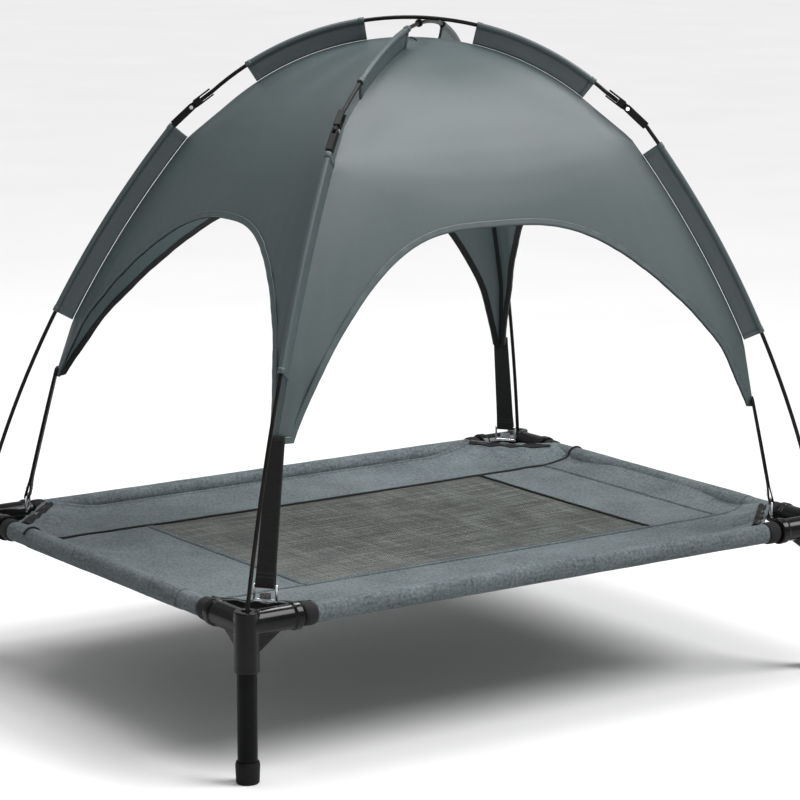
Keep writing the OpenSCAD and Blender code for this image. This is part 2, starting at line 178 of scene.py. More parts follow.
# ---- finishes
plasticFinish = {"color": (0.0030, 0.0032, 0.0032), "worn": (0.0065, 0.0068, 0.0068),
                 "roughness": (0.12, 0.22), "grain": 900, "bumpDepth": 0.00004, "specular": 0.14}
tubeFinish = {"color": (0.0030, 0.0032, 0.0032), "worn": (0.0060, 0.0062, 0.0062),
              "roughness": (0.22, 0.34), "grain": 1400, "bumpDepth": 0.00004, "specular": 0.05}
rodFinish = {"color": (0.0050, 0.0046, 0.0040), "worn": (0.0100, 0.0092, 0.0080),
             "roughness": (0.24, 0.36), "grain": 700, "bumpDepth": 0.00004, "specular": 0.12}
elbowFinish = {"color": (0.0035, 0.0035, 0.0035), "worn": (0.0070, 0.0070, 0.0068),
               "roughness": (0.34, 0.48), "grain": 1100, "bumpDepth": 0.00004, "specular": 0.1}
rubberFinish = {"color": (0.0035, 0.0035, 0.0035), "worn": (0.0080, 0.0080, 0.0080),
                "roughness": (0.45, 0.65), "grain": 1600, "bumpDepth": 0.00008, "specular": 0.12}


def hardFinish(name, values):
    made = Nodes(name)
    place = made.coords(uv=False)
    cloudy = made.noise(place, 38, 4)
    grain = made.noise(place, values["grain"], 2)
    color = made.ramp(cloudy, [(0.35, values["color"]), (0.75, values["worn"])])
    made.link(color, made.shader.inputs["Base Color"])
    low, high = values["roughness"]
    spread = made.math("ADD", made.math("MULTIPLY", cloudy, high - low), low)
    made.link(spread, made.shader.inputs["Roughness"])
    made.link(made.bump(grain, 0.35, values["bumpDepth"]), made.shader.inputs["Normal"])
    return made.finish(0.3, specular=values["specular"])


def zincFinish(name):
    made = Nodes(name)
    place = made.coords(uv=False)
    cloudy = made.noise(place, 160, 5)
    color = made.ramp(cloudy, [(0.3, (0.45, 0.46, 0.47)), (0.8, (0.80, 0.81, 0.82))])
    made.link(color, made.shader.inputs["Base Color"])
    made.link(made.math("ADD", made.math("MULTIPLY", cloudy, 0.2), 0.14), made.shader.inputs["Roughness"])
    made.link(made.bump(made.noise(place, 900, 2), 0.2, 0.00004), made.shader.inputs["Normal"])
    return made.finish(0.25, metallic=1.0)


def clothFinish(name, values):
    made = Nodes(name)
    place = made.coords()
    height = made.weave(place, values["pitch"][0], values["pitch"][1])[0]
    patchy = made.noise(place, values["patch"], 4)
    slub = made.noise(place, 420, 3, stretch=(0.12, 1, 1))
    slubAcross = made.noise(place, 420, 3, stretch=(1, 0.12, 1))
    threads = made.math("ADD", made.math("MULTIPLY", slub, 0.5), made.math("MULTIPLY", slubAcross, 0.5))
    tone = made.math("ADD", made.math("MULTIPLY", patchy, values["mottle"]),
                     made.math("MULTIPLY", threads, values["fleck"]))
    tone = made.math("ADD", tone, made.math("MULTIPLY", made.noise(place, 300, 4), values["speck"]))
    low, high = 0.5 - values["range"], 0.5 + values["range"]
    color = made.ramp(tone, [(low, values["dark"]), (high, values["light"])])
    gaps = made.math("MULTIPLY", made.math("SUBTRACT", 1.0, height), values["gap"])
    color = made.mix(gaps, color, values["gapColor"])
    made.link(color, made.shader.inputs["Base Color"])
    fine = made.bump(height, values["weaveBump"], values["weaveDepth"])
    made.link(made.bump(threads, 0.4, 0.00012, fine), made.shader.inputs["Normal"])
    return made.finish(values["roughness"], sheen=values["sheen"], sheenRoughness=0.35,
                       specular=values["specular"])


# pitch in millimetres; mottle, fleck and speck share out the tone, and range sets its contrast
oxford = {"pitch": (0.9, 0.9), "dark": (0.034, 0.043, 0.047), "light": (0.118, 0.140, 0.147),
          "mottle": 0.24, "fleck": 0.32, "speck": 0.44, "range": 0.12, "patch": 14,
          "gap": 0.35, "gapColor": (0.026, 0.032, 0.035), "weaveBump": 0.5, "weaveDepth": 0.0002,
          "roughness": 0.82, "sheen": 0.03, "specular": 0.2}
coated = {"pitch": (0.5, 0.5), "dark": (0.034, 0.050, 0.052), "light": (0.046, 0.066, 0.068),
          "mottle": 0.3, "fleck": 0.4, "speck": 0.3, "range": 0.2, "patch": 7,
          "gap": 0.18, "gapColor": (0.019, 0.028, 0.030), "weaveBump": 0.25, "weaveDepth": 0.0001,
          "roughness": 0.45, "sheen": 0.02, "specular": 0.45}
blackTape = {"pitch": (1.1, 0.7), "dark": (0.0030, 0.0031, 0.0032), "light": (0.0095, 0.0098, 0.0100),
             "mottle": 0.2, "fleck": 0.5, "speck": 0.3, "range": 0.2, "patch": 14,
             "gap": 0.5, "gapColor": (0.0015, 0.0015, 0.0015), "weaveBump": 0.8, "weaveDepth": 0.0003,
             "roughness": 0.7, "sheen": 0.02, "specular": 0.2}
threadFinish = {"pitch": (0.4, 0.4), "dark": (0.024, 0.030, 0.032), "light": (0.040, 0.048, 0.051),
                "mottle": 0.3, "fleck": 0.4, "speck": 0.3, "range": 0.2, "patch": 14,
                "gap": 0.4, "gapColor": (0.01, 0.01, 0.01), "weaveBump": 0.5, "weaveDepth": 0.0001,
                "roughness": 0.6, "sheen": 0.02, "specular": 0.3}
# the mesh's openings are opaque and painted near black: painted shade for the shaded space seen through them
meshCloth = {"pitch": (1.7, 1.7), "dark": (0.008, 0.009, 0.008), "middle": (0.036, 0.041, 0.038),
             "light": (0.110, 0.119, 0.108), "hole": 0.22, "holeShade": (0.012, 0.013, 0.011)}


def meshFinish(name, values):
    made = Nodes(name)
    place = made.coords()
    height, warp, weft = made.weave(place, values["pitch"][0], values["pitch"][1])
    streak = made.noise(place, 260, 3, stretch=(0.05, 1, 1))
    streakAcross = made.noise(place, 260, 3, stretch=(1, 0.05, 1))
    grain = made.noise(place, 430, 3)
    patchy = made.noise(place, 16, 3)
    tone = made.math("ADD", made.math("MULTIPLY", streak, 0.34), made.math("MULTIPLY", streakAcross, 0.22))
    tone = made.math("ADD", tone, made.math("MULTIPLY", grain, 0.34))
    tone = made.math("ADD", tone, made.math("MULTIPLY", patchy, 0.12))
    color = made.ramp(tone, [(0.42, values["dark"]), (0.50, values["middle"]), (0.58, values["light"])])
    # painted shade: the openings between the threads get a near-black that stands for the shade seen through
    # the mesh
    holes = made.math("MULTIPLY", made.math("SUBTRACT", 1.0, warp), made.math("SUBTRACT", 1.0, weft))
    holes = made.math("GREATER_THAN", holes, values["hole"])
    color = made.mix(made.math("MULTIPLY", holes, 0.85), color, values["holeShade"])
    made.link(color, made.shader.inputs["Base Color"])
    made.link(made.bump(height, 0.9, 0.0004), made.shader.inputs["Normal"])
    return made.finish(0.55, sheen=0.02, specular=0.35)


finishes = {
    "plastic": hardFinish("mouldedPlastic", plasticFinish),
    "tube": hardFinish("powderCoat", tubeFinish),
    "rod": hardFinish("rodVarnish", rodFinish),
    "elbow": hardFinish("elbowPlastic", elbowFinish),
    "rubber": hardFinish("footRubber", rubberFinish),
    "zinc": zincFinish("zincPlate"),
    "oxford": clothFinish("oxfordCloth", oxford),
    "coated": clothFinish("coatedPolyester", coated),
    "tape": clothFinish("grosgrainTape", blackTape),
    "thread": clothFinish("sewingThread", threadFinish),
    "mesh": meshFinish("slingMesh", meshCloth),
}
print("finishes made")


# ---- piece helpers
# turns a bmesh into a piece on its body; thickness and offset give a cloth its wall
def keepPiece(bm, name, finish, body, replaces=(), thickness=0.0, offset=0.0):
    mesh = bpy.data.meshes.new(name)
    bm.to_mesh(mesh)
    bm.free()
    piece = bpy.data.objects.new(name, mesh)
    bpy.context.scene.collection.objects.link(piece)
    mesh.materials.append(finishes[finish])
    for face in mesh.polygons:
        face.use_smooth = True
    if thickness:
        solid = piece.modifiers.new("thickness", "SOLIDIFY")
        solid.thickness = thickness * 0.001
        solid.offset = offset
        solid.use_even_offset = False
    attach(piece, body)
    if replaces:
        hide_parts(*replaces)
    return piece


# a grid over u and w from 0 to 1; shape(u, w) gives each point and its place on the cloth map, both in mm
def clothGrid(bm, nu, nw, shape, closed=False):
    made = bmesh.ops.create_grid(bm, x_segments=nu, y_segments=nw, size=0.5)
    layer = bm.loops.layers.uv.get("cloth") or bm.loops.layers.uv.new("cloth")
    spots = {v: (v.co.x + 0.5, v.co.y + 0.5) for v in made["verts"]}
    placed = {v: shape(*spots[v]) for v in made["verts"]}
    faces = set(f for v in made["verts"] for f in v.link_faces)
    for face in faces:
        for loop in face.loops:
            s, t = placed[loop.vert][1]
            loop[layer].uv = (s * 0.001, t * 0.001)
    for v, (point, _) in placed.items():
        v.co = Vector(point) * 0.001
    if closed:
        bmesh.ops.remove_doubles(bm, verts=made["verts"], dist=0.00002)


# short stitches along a line of points, sitting on the surface
def stitchRow(bm, points, normals, pitch=3.4, length=2.3, width=0.55):
    travelled, due = 0.0, pitch * 0.5
    for a, b, n in zip(points, points[1:], normals):
        step = (b - a).length
        while travelled + step >= due and step > 0:
            place = a.lerp(b, (due - travelled) / step)
            along = (b - a).normalized()
            up = (n - along * n.dot(along)).normalized()
            side = up.cross(along)
            turn = Matrix((along, side, up)).transposed().to_4x4()
            size = Matrix.Diagonal((length / 2, width / 2, width / 2, 1))
            where = Matrix.Translation(place * 0.001) @ turn @ size @ Matrix.Scale(0.001, 4)
            bmesh.ops.create_icosphere(bm, subdivisions=1, radius=1.0, matrix=where)
            due += pitch
        travelled += step
    if not bm.loops.layers.uv.get("cloth"):
        bm.loops.layers.uv.new("cloth")


def mapByPosition(bm):
    layer = bm.loops.layers.uv.get("cloth") or bm.loops.layers.uv.new("cloth")
    for face in bm.faces:
        for loop in face.loops:
            loop[layer].uv = (loop.vert.co.x, loop.vert.co.y + loop.vert.co.z)


# ---- hard parts: the frame's own shapes with moulded edges
connectorShape = {"voxel": 0.75, "soften": 6}
elbowShape = {"voxel": 0.42, "soften": 3}


def mouldEdges(node, shape, finish):
    piece = cadNodes[node]
    grown = piece.modifiers.new("mould", "REMESH")
    grown.mode = "VOXEL"
    grown.voxel_size = shape["voxel"] * 0.001
    grown.use_smooth_shade = True
    soft = piece.modifiers.new("soften", "SMOOTH")
    soft.factor = 0.5
    soft.iterations = shape["soften"]
    piece.data.materials.clear()
    piece.data.materials.append(finishes[finish])


def paintNode(node, finish):
    piece = cadNodes[node]
    piece.data.materials.clear()
    piece.data.materials.append(finishes[finish])


for corner in corners:
    mouldEdges(corner + "_connector", connectorShape, "plastic")
    paintNode(corner + "_leg", "tube")
    paintNode(corner + "_rail", "tube")
    paintNode(corner + "_foot", "rubber")
    paintNode(corner + "_lower_rod", "rod")
    mouldEdges(corner + "_elbow_socket", elbowShape, "elbow")
    mouldEdges(corner + "_elbow_fork", elbowShape, "elbow")
    paintNode(corner + "_hook", "zinc")
paintNode("upper_top_rod", "rod")
paintNode("under_top_rod", "rod")
paintNode("elbow_pins", "zinc")
print("hard parts finished")


# ---- sling: one stretched surface, cut into borders, end panels and mesh
sling = {"sleeveR": 9.8, "cornerRise": 13.5, "cornerReach": 60.0, "sag": 3.0, "ripple": 0.35, "thick": 1.0,
         "wallRise": 4.0, "rightSlope": 7.0, "rimX": 358.0, "rimY": 264.0, "rimBlend": 14.0, "meshThick": 0.9}


def slingHeight(x, y):
    ax, ay = abs(x), abs(y)
    toChord = ((cot["halfLength"] - ax) + (cot["halfWidth"] - ay) - cot["notch"]) / math.sqrt(2)
    z = cot["sheetZ"]
    z += sling["cornerRise"] * (1 - smoothStep(-4, sling["cornerReach"], toChord)) ** 1.2
    toTube = min(cot["halfLength"] - ax, cot["halfWidth"] - ay) - sling["sleeveR"]
    z += sling["wallRise"] * math.exp(-max(0.0, toTube) / 5.0)
    z += sling["rightSlope"] * smoothStep(316, 362, x) * smoothStep(30, 110, toChord)
    middle = (1 - (x / cot["halfLength"]) ** 2) * (1 - (y / cot["halfWidth"]) ** 2)
    z -= sling["sag"] * max(0.0, middle) ** 2
    near = math.exp(-max(0.0, toChord) / 55.0)
    fan = math.atan2(cot["halfWidth"] - ay, cot["halfLength"] - ax)
    z += near * 1.1 * math.sin(fan * 17 + (x > 0) * 1.3 + (y > 0) * 2.1) * smoothStep(0, 18, toTube)
    broad = noise.noise(Vector((x * 0.018, y * 0.03, 3)))
    fine = noise.noise(Vector((x * 0.05, y * 0.06, 9)))
    return z + sling["ripple"] * (broad + 0.4 * fine)


def slingNormal(x, y):
    dx = (slingHeight(x + 1, y) - slingHeight(x - 1, y)) / 2
    dy = (slingHeight(x, y + 1) - slingHeight(x, y - 1)) / 2
    return Vector((-dx, -dy, 1)).normalized()


def cutCorners(bm):
    for sx, sy in cornerSigns:
        reach = (cot["halfLength"] + cot["halfWidth"] - cot["notch"]) * 0.001
        normal = Vector((sx, sy, 0)).normalized()
        bmesh.ops.bisect_plane(bm, geom=bm.verts[:] + bm.edges[:] + bm.faces[:], dist=1e-6,
                               plane_co=normal * reach / math.sqrt(2), plane_no=normal, clear_outer=True)


# pulls the rim of the sheet on to the sleeve, at the height that it has there
def hugTube(x, y, z):
    reach = math.sqrt(max(1.0, sling["sleeveR"] ** 2 - (z - cot["railZ"]) ** 2))
    rimX, rimY, blend = sling["rimX"], sling["rimY"], sling["rimBlend"]
    pushX = (cot["halfLength"] - reach - rimX) * smoothStep(rimX - blend, rimX, abs(x))
    pushY = (cot["halfWidth"] - reach - rimY) * smoothStep(rimY - blend, rimY, abs(y))
    return x + math.copysign(pushX, x), y + math.copysign(pushY, y)


def slingSheet(bm, x0, x1, y0, y1, step=4.5, lift=0.0):
    nu, nw = max(2, round((x1 - x0) / step)), max(2, round((y1 - y0) / step))

    def shape(u, w):
        x, y = x0 + (x1 - x0) * u, y0 + (y1 - y0) * w
        z = slingHeight(x, y) + lift
        hugX, hugY = hugTube(x, y, z)
        return (hugX, hugY, z), (x, y)
    clothGrid(bm, nu, nw, shape)


# a cloth tube round a rail, along Y at x = side, or along X at y = side
def sleeveTube(bm, alongY, side, start, end, radius, seed):
    count = max(4, round((end - start) / 4.5))

    def shape(u, w):
        p = start + (end - start) * u
        a = 2 * math.pi * w
        ripple = 0.28 * noise.noise(Vector((p * 0.02, math.cos(a) * 1.2, math.sin(a) * 1.2 + seed)))
        ripple += 0.12 * noise.noise(Vector((p * 0.09, math.cos(a) * 2, math.sin(a) * 2 + seed)))
        r = radius + ripple
        out, z = side + math.copysign(1, side) * r * math.cos(a), cot["railZ"] + r * math.sin(a)
        point = (out, p, z) if alongY else (p, out, z)
        return point, (p, a * radius)
    clothGrid(bm, count, 40, shape, closed=True)


endShape = {"bandX": {"left": 344.0, "right": 319.0}, "bandLift": 0.9, "bandThick": 0.7, "tubeExtra": 0.6}
sleeveEnd = {"x": cot["halfLength"] - cot["sleeveGap"], "y": cot["halfWidth"] - cot["sleeveGap"]}


def borderPiece(side, s):
    bm = bmesh.new()
    low, high = sorted((s * (cot["meshY"] - 0.1), s * sling["rimY"]))
    slingSheet(bm, -sling["rimX"], sling["rimX"], low, high)
    cutCorners(bm)
    sleeveTube(bm, False, s * cot["halfWidth"], -sleeveEnd["x"], sleeveEnd["x"], sling["sleeveR"], 2 + s)
    for e in (-1, 1):
        low, high = sorted((s * cot["meshY"], s * sleeveEnd["y"]))
        sleeveTube(bm, True, e * cot["halfLength"], low, high, sling["sleeveR"], 7 + e + s)
    bmesh.ops.recalc_face_normals(bm, faces=bm.faces)
    return keepPiece(bm, side + "Border", "oxford", "cot", [side + "_border"],
                     thickness=sling["thick"])


def onSling(pairs, lift):
    points = [Vector((x, y, slingHeight(x, y) + lift)) for x, y in pairs]
    return points, [slingNormal(x, y) for x, y in pairs]


def straight(a, b, n=90):
    return [(a[0] + (b[0] - a[0]) * k / n, a[1] + (b[1] - a[1]) * k / n) for k in range(n + 1)]


for s, side in ((-1, "front"), (1, "back")):
    borderPiece(side, s)

for e, side in ((-1, "left"), (1, "right")):
    bm = bmesh.new()
    low, high = sorted((e * (cot["meshX"] + 0.1), e * sling["rimX"]))
    slingSheet(bm, low, high, -cot["meshY"] + 0.1, cot["meshY"] - 0.1)
    sleeveTube(bm, True, e * cot["halfLength"], -cot["meshY"] + 0.3, cot["meshY"] - 0.3,
               sling["sleeveR"] + endShape["tubeExtra"], 4 + e)
    bmesh.ops.recalc_face_normals(bm, faces=bm.faces)
    keepPiece(bm, side + "EndPanel", "oxford", "cot",
                                  [side + "_end_panel"], thickness=sling["thick"])
    bm = bmesh.new()
    low, high = sorted((e * endShape["bandX"][side], e * sling["rimX"]))
    slingSheet(bm, low, high, -cot["meshY"] + 0.6, cot["meshY"] - 0.6, lift=endShape["bandLift"])
    keepPiece(bm, side + "EndBand", "oxford", "cot",
                               thickness=endShape["bandThick"])

bm = bmesh.new()
slingSheet(bm, -cot["meshX"], cot["meshX"], -cot["meshY"], cot["meshY"], step=5)
meshPanel = keepPiece(bm, "meshPanel", "mesh", "cot", ["mesh_panel"],
                      thickness=sling["meshThick"])
print("sling made")

# folded hems on the mesh's left and front edges, and the front seam on to both end rails
hems = {"width": 8.5, "lift": 0.75, "thick": 0.8, "railSeam": 359.0}
bm = bmesh.new()
mx, my, hw = cot["meshX"], cot["meshY"], hems["width"]
slingSheet(bm, -mx - 2, -mx + hw - 2, -my, my, step=4, lift=hems["lift"])
slingSheet(bm, -mx - 2, mx + 6, -my - 3, -my + hw - 3, step=4, lift=hems["lift"] + 0.1)
for e in (-1, 1):
    low, high = sorted((e * (mx + (6 if e > 0 else 2)), e * hems["railSeam"]))
    slingSheet(bm, low, high, -my - 3, -my + 3, step=3, lift=hems["lift"])
hemPiece = keepPiece(bm, "meshHem", "oxford", "cot", thickness=hems["thick"])

pipingShape = {"radius": 1.35, "lift": 1.2}


def cordTube(bm, points, radius, sides=10):
    def shape(u, w):
        k = min(len(points) - 1, int(round(u * (len(points) - 1))))
        a, b = points[max(0, k - 1)], points[min(len(points) - 1, k + 1)]
        along = (b - a).normalized()
        side = along.cross(Vector((0, 0, 1))).normalized()
        up = side.cross(along)
        t = 2 * math.pi * w
        offset = side * math.cos(t) * radius + up * math.sin(t) * radius
        return points[k] + offset, (k * (b - a).length / 2, t * radius)
    clothGrid(bm, len(points) - 1, sides, shape, closed=True)


bm = bmesh.new()
seam, _ = onSling(straight((-357, my), (357, my), 180), pipingShape["lift"])
wrap = []
for k in range(13):
    a = math.radians(180 - 10 * k - 32)
    r = sling["sleeveR"] + endShape["tubeExtra"] + pipingShape["lift"]
    wrap.append(Vector((cot["halfLength"] + r * math.cos(a), my, cot["railZ"] + r * math.sin(a))))
leftWrap = [Vector((-p.x, p.y, p.z)) for p in reversed(wrap)]
cordTube(bm, leftWrap + seam + wrap, pipingShape["radius"])
edge, _ = onSling(straight((mx, my), (mx, -my), 80), pipingShape["lift"])
cordTube(bm, edge, pipingShape["radius"])
bmesh.ops.recalc_face_normals(bm, faces=bm.faces)
piping = keepPiece(bm, "meshPiping", "tape", "cot", ["mesh_piping"])

# stitch rows of the sling
bandSeam = {side: x + 2 for side, x in endShape["bandX"].items()}
rim = sling["rimX"]
bm = bmesh.new()
rows = [((-mx + 0.5, -my), (-mx + 0.5, my)), ((-mx + 4.5, -my), (-mx + 4.5, my)),
        ((-rim, -my - 1.6), (rim, -my - 1.6)), ((-mx, -my + 3.6), (mx + 4, -my + 3.6)),
        ((bandSeam["right"], -my), (bandSeam["right"], my)),
        ((-bandSeam["left"], -my), (-bandSeam["left"], my)),
        ((-rim, my + 4), (rim, my + 4))]
for s in (-1, 1):
    y = s * (cot["halfWidth"] - sling["sleeveR"] - 4)  # beside the sleeve
    rows.append(((-300, y), (300, y)))
for a, b in rows:
    points, normals = onSling(straight(a, b, 160), 1.35)
    stitchRow(bm, points, normals, pitch=3.8, length=2.7, width=0.8)
# sewn patches near the cut corners
for sx, sy in cornerSigns:
    centre = Vector((sx * 310, sy * 216))
    u = Vector((-sx, sy)).normalized()
    w = Vector((sx, sy)).normalized()
    loop = [centre + u * a + w * b for a, b in ((-21, 7), (21, 7), (14, -9), (-14, -9), (-21, 7))]
    for a, b in zip(loop, loop[1:]):
        points, normals = onSling(straight(a, b, 12), 0.75)
        stitchRow(bm, points, normals, pitch=3.0, length=2.0)
mapByPosition(bm)
slingStitches = keepPiece(bm, "slingStitches", "thread", "cot")
print("sling seams made")

# ---- edge tapes: a ring on each sleeve end and a folded tape across the cut corner
tapeShape = {"from": 62.0, "to": 77.0, "ringR": 10.9, "flare": 0.7, "top": 169.0, "bottom": 157.0,
             "foldR": 1.1, "lap": 9.0, "thick": 0.9}


def edgeTape(i):
    sx, sy = cornerSigns[i]
    cornerPoint = Vector((sx * cot["halfLength"], sy * cot["halfWidth"], cot["railZ"]))
    bm = bmesh.new()
    for axis in (0, 1):
        def ring(u, w, axis=axis):
            p = tapeShape["from"] + (tapeShape["to"] - tapeShape["from"]) * u
            a = 2 * math.pi * w
            lump = 0.35 * noise.noise(Vector((math.cos(a) * 2, math.sin(a) * 2, i + axis * 3 + u)))
            ends = 0.9 * (u < 0.05) + 0.5 * (u > 0.97)
            r = tapeShape["ringR"] + tapeShape["flare"] * math.sin(math.pi * u) + lump - ends
            along = Vector((-sx, 0, 0)) if axis == 0 else Vector((0, -sy, 0))
            across = Vector((0, sy, 0)) if axis == 0 else Vector((sx, 0, 0))
            point = cornerPoint + along * p + across * r * math.cos(a) + Vector((0, 0, r * math.sin(a)))
            return point, (a * r, p)
        clothGrid(bm, 8, 40, ring, closed=True)
    # folded over the sheet's cut edge, between the two tubes
    a = Vector((sx * (cot["halfLength"] - cot["notch"] + 2), sy * (cot["halfWidth"] - 7), 0))
    b = Vector((sx * (cot["halfLength"] - 7), sy * (cot["halfWidth"] - cot["notch"] + 2), 0))
    outward = Vector((sx, sy, 0)).normalized()

    def fold(u, w):
        base = a.lerp(b, u)
        top = tapeShape["top"] - 1.6 * (1 - abs(2 * u - 1)) + 0.4 * math.sin(u * math.pi * 5 + i)
        shoulder, foldR = top - 1.2, tapeShape["foldR"]
        if w < 0.45:
            depth, z = 0.0, tapeShape["bottom"] + (shoulder - tapeShape["bottom"]) * w / 0.45
        elif w < 0.7:
            turn = math.pi * (w - 0.45) / 0.25
            depth, z = foldR * (1 - math.cos(turn)), shoulder + foldR * math.sin(turn)
        else:
            q = (w - 0.7) / 0.3
            depth = 2 * foldR + (tapeShape["lap"] - 2 * foldR) * q
            inner = base - outward * depth
            down = smoothStep(0, 0.7, q)
            z = shoulder * (1 - down) + (slingHeight(inner.x, inner.y) + foldR) * down
        p = base - outward * depth
        return Vector((p.x, p.y, z)), (u * 100, w * 24)
    clothGrid(bm, 26, 24, fold)
    bmesh.ops.recalc_face_normals(bm, faces=bm.faces)
    return keepPiece(bm, corners[i] + "EdgeTape", "tape", "cot", [corners[i] + "_binding"],
                     thickness=tapeShape["thick"])


edgeTapes = [edgeTape(i) for i in range(4)]
print("edge tapes made")

# ---- poles: the same lines as the rods
pole = {"socketUp": 13.0, "holeDepth": 13.0, "rodD": 4.2, "crown": 550.6, "bow": 25.0, "lowS": 254.0,
        "lowZ": 434.5, "highS": 210.6, "highZ": 471.0, "lean": 12.0, "crownLean": 16.0, "crossGap": 0.8}
canopy = {"inset": 20.7, "tipS": 380.0, "tipZ": 146.0, "slip": 12.0, "bulge": 10.0,
          "seams": (0.114, 0.535, 0.628), "ease": 0.12, "thick": 0.8,
          "flapLowZ": (222, 426), "flapHighS": (186, 60)}
# the arches of the long and short sides: height as a share of the seam, roundness, and the peak's shift
arches = {"rise": (0.373, 0.384), "power": (3.3, 2.5), "sharp": (0.85, 0.6), "shift": (0.04, -0.05),
          "feet": (0.036, 0.012, 0.02, 0.018)}


def outward(i):
    return Vector((cornerSigns[i][0] * cot["halfLength"], cornerSigns[i][1] * cot["halfWidth"], 0)) / diagonal


leanDir = outward(1)


def slideOf(i):
    return canopy["slip"] if i in (1, 2) else -canopy["slip"]


def raised(z):
    return Vector((0, 0, cot["railZ"] + z))


def tipPoint(i):
    return outward(i) * (diagonal + 1.6) + raised(pole["socketUp"] - pole["holeDepth"] + 0.3)


def lowPoint(i):
    return outward(i) * pole["lowS"] + leanDir * pole["lean"] + raised(pole["lowZ"])


def highPoint(i):
    return outward(i) * pole["highS"] + leanDir * pole["lean"] + raised(pole["highZ"])


# an arc over the chord from p to q: its centre, chord direction, bow direction, radius and half angle
def arcOver(p, q, bow, sag):
    length = (q - p).length
    c = (q - p) / length
    b = (bow - c * bow.dot(c)).normalized()
    r = (length * length / 4 + sag * sag) / (2 * sag)
    return (p + q) / 2 - b * (r - sag), c, b, r, math.asin(length / 2 / r)


def arcPoint(a, t, inset=0.0):
    angle = (2 * t - 1) * a[4]
    return a[0] + (a[1] * math.sin(angle) + a[2] * math.cos(angle)) * (a[3] - inset)


def topBow(i):
    rise = pole["crown"] - pole["highZ"]
    if i % 2:
        return Vector((0, 0, rise))
    return Vector((0, 0, rise - pole["rodD"] - pole["crossGap"])) + leanDir * pole["crownLean"]


lowArcs = [arcOver(tipPoint(i), lowPoint(i), outward(i), pole["bow"]) for i in range(4)]
topArcs = [arcOver(highPoint(i), highPoint((i + 2) % 4), topBow(i), topBow(i).length) for i in range(4)]


def shareAtZ(a, z):
    lo, hi = 0.0, 1.0
    for _ in range(18):
        m = (lo + hi) / 2
        if arcPoint(a, m).z < z:
            lo = m
        else:
            hi = m
    return (lo + hi) / 2


def shareAtS(a, s):
    return 0.5 - math.asin(s / a[3]) / a[4] / 2


# where the sleeve flaps start and end, as shares of the two arcs
flapLow = [[shareAtZ(lowArcs[i], cot["railZ"] + z - slideOf(i) * 0.8) for z in canopy["flapLowZ"]]
           for i in range(4)]
flapHigh = [[shareAtS(topArcs[i], s + slideOf(i)) for s in canopy["flapHighS"]] for i in range(4)]


def canopyTip(i):
    return outward(i) * (canopy["tipS"] + slideOf(i) * 0.5) + raised(canopy["tipZ"] - slideOf(i) * 1.2)


# the seam under a pole: share v runs from the canopy tip to the crown
def seamPoint(i, v):
    lo, hi, b = lowArcs[i], topArcs[i], flapLow[i][0]
    v0, v1, v2 = canopy["seams"]
    d = canopy["inset"]
    if v <= v0:
        return canopyTip(i).lerp(arcPoint(lo, b, d), v / v0)
    if v <= v1:
        return arcPoint(lo, b + (1 - b) * (v - v0) / (v1 - v0), d)
    if v >= v2:
        return arcPoint(hi, (v - v2) / (1 - v2) / 2, d)
    w = (v - v1) / (v2 - v1)
    return arcPoint(lo, 1, d).lerp(arcPoint(hi, 0, d), w)


def archShare(i, u):
    side = i % 2
    w = u + arches["shift"][side] * 4 * u * (1 - u)
    foot = arches["feet"][i if w < 0.5 else (i + 1) % 4]
    x = min(1.0, abs(2 * w - 1) / (1 - 2 * foot))
    return arches["rise"][side] * (1 - x ** arches["power"][side]) ** arches["sharp"][side]


# away from the seams the cloth rounds off their bends
def easedSeam(i, v, u):
    reach = canopy["ease"] * min(1, 4 * u * (1 - u)) * min(1, (1 - v) / 0.2) * min(1, v / 0.1)
    weights = (0.15, 0.22, 0.26, 0.22, 0.15)
    spots = [seamPoint(i, v + reach * (k / 2 - 1)) * weight for k, weight in enumerate(weights)]
    return sum(spots, Vector((0, 0, 0)))


def panelPoint(i, u, v, wrinkle=True):
    j = (i + 1) % 4
    a, b = easedSeam(i, v, u), easedSeam(j, v, u)
    span = b - a
    e = span.normalized() if span.length > 4 else Vector((0, 0, 0))
    out = (outward(i) + outward(j) + Vector((0, 0, 0.5))).normalized()
    point = (a + e * 0.4).lerp(b - e * 0.4, u) + out * canopy["bulge"] * 4 * u * (1 - u) * min(1, 2 - 2 * v)
    if wrinkle:
        # slack folds that run up from the tips and fade out towards the middle
        side = min(u, 1 - u)
        near = math.exp(-v / 0.16) * smoothStep(0.0, 0.03, side)
        fold = math.sin(side * 120 + i * 2.0 + (u > 0.5) * 1.4) * near * 1.3
        free = smoothStep(0.0, 0.08, side) * smoothStep(1.0, 0.85, v)
        soft = noise.noise(Vector((u * 5 + i * 9, v * 5, 1.7))) * 1.4 * free
        point = point + out * (fold + soft)
    return point


def panelNormal(i, u, v):
    du = panelPoint(i, min(1, u + 0.004), v, False) - panelPoint(i, max(0, u - 0.004), v, False)
    dv = panelPoint(i, u, min(0.995, v + 0.004), False) - panelPoint(i, u, max(0, v - 0.004), False)
    n = du.cross(dv)
    return n.normalized() if n.length > 1e-6 else Vector((0, 0, 1))


panelGrid = {"across": 84, "up": 56}


def archEase(k):
    return (1 - math.cos(math.pi * k)) / 2


